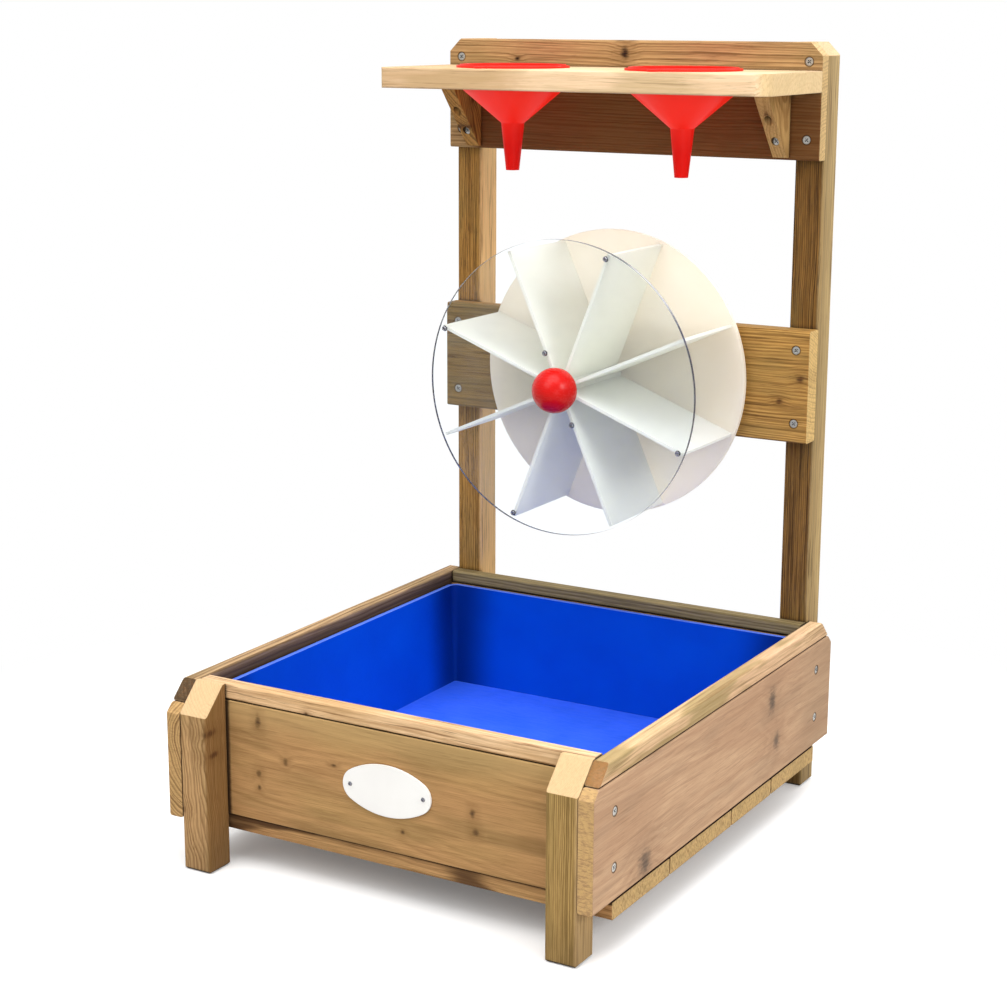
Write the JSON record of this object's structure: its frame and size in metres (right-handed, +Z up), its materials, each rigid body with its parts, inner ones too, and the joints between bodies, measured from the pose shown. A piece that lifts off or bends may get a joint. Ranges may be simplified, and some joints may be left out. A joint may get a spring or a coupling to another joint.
{
  "type": "sand wheel toy",
  "caption": "Timber play stand with a drop-in tub, a vaned wheel that spins on a bolt above it, and funnels in a shelf that pour sand or water onto the wheel.",
  "frame": {"origin": "on the floor, under the middle of the overall box", "axes": "+Z up, -Y to the front with the oval plate, +X to the right seen from the front"},
  "size_m": [0.45, 0.528, 0.762],
  "materials": {
    "post_timber": "planed and pressure treated",
    "board_timber": "planed and pressure treated",
    "rail_timber": "planed and pressure treated",
    "upper_timber": "planed and pressure treated",
    "shelf_timber": "planed",
    "plate_white": "smooth",
    "zinc_steel": "zinc plated",
    "red_ball": "gloss paint",
    "clear_acrylic": "clear polished",
    "cream_plastic": "satin",
    "white_plastic": "satin",
    "bush_nylon": "smooth",
    "red_plastic": "glossy moulded",
    "blue_plastic": "glossy moulded"
  },
  "bodies": {
    "stand": {"front_left_leg": "post_timber", "front_right_leg": "post_timber", "left_upright": "post_timber", "right_upright": "post_timber", "front_panel": "board_timber", "rear_panel": "board_timber", "left_side_board": "board_timber", "right_side_board": "board_timber", "front_rail": "rail_timber", "rear_rail": "rail_timber", "left_side_rail": "rail_timber", "right_side_rail": "rail_timber", "floor_slat_1": "board_timber", "floor_slat_2": "board_timber", "floor_slat_3": "board_timber", "floor_slat_4": "board_timber", "back_board": "upper_timber", "wheel_board": "upper_timber", "shelf": "shelf_timber", "left_bracket": "post_timber", "right_bracket": "post_timber", "oval_plate": "plate_white", "plate_pins": "zinc_steel", "rail_dowels": "shelf_timber", "side_board_screws": "zinc_steel", "leg_screws": "zinc_steel", "upright_screws": "zinc_steel", "slat_screws": "zinc_steel", "back_board_screws": "zinc_steel", "wheel_board_screws": "zinc_steel", "shelf_screws": "zinc_steel", "bracket_screws": "zinc_steel", "axle_bolt": "zinc_steel", "axle_nut": "zinc_steel", "axle_washers": "zinc_steel", "ball_knob": "red_ball"},
    "wheel": {"front_disc": "clear_acrylic", "rear_disc": "cream_plastic", "hub": "white_plastic", "front_bush": "bush_nylon", "rear_bush": "bush_nylon", "vane_1": "white_plastic", "vane_2": "white_plastic", "vane_3": "white_plastic", "vane_4": "white_plastic", "vane_5": "white_plastic", "vane_6": "white_plastic", "vane_7": "white_plastic", "vane_8": "white_plastic", "front_disc_screws": "zinc_steel", "rear_disc_screws": "zinc_steel"},
    "left_funnel": {"left_funnel": "red_plastic"},
    "right_funnel": {"right_funnel": "red_plastic"},
    "tub": {"tub": "blue_plastic"}
  },
  "joints": [
    {"name": "wheel_spin", "type": "hinge", "parent": "stand", "child": "wheel", "pos_m": [0, 0.1401, 0.4265], "axis": [0, 1, 0], "continuous": true},
    {"name": "left_funnel_lift", "type": "slide", "parent": "stand", "child": "left_funnel", "axis": [0, 0, 1], "range_m": [0, 0.12]},
    {"name": "right_funnel_lift", "type": "slide", "parent": "stand", "child": "right_funnel", "axis": [0, 0, 1], "range_m": [0, 0.12]},
    {"name": "tub_lift", "type": "slide", "parent": "stand", "child": "tub", "axis": [0, 0, 1], "range_m": [0, 0.1]}
  ]
}
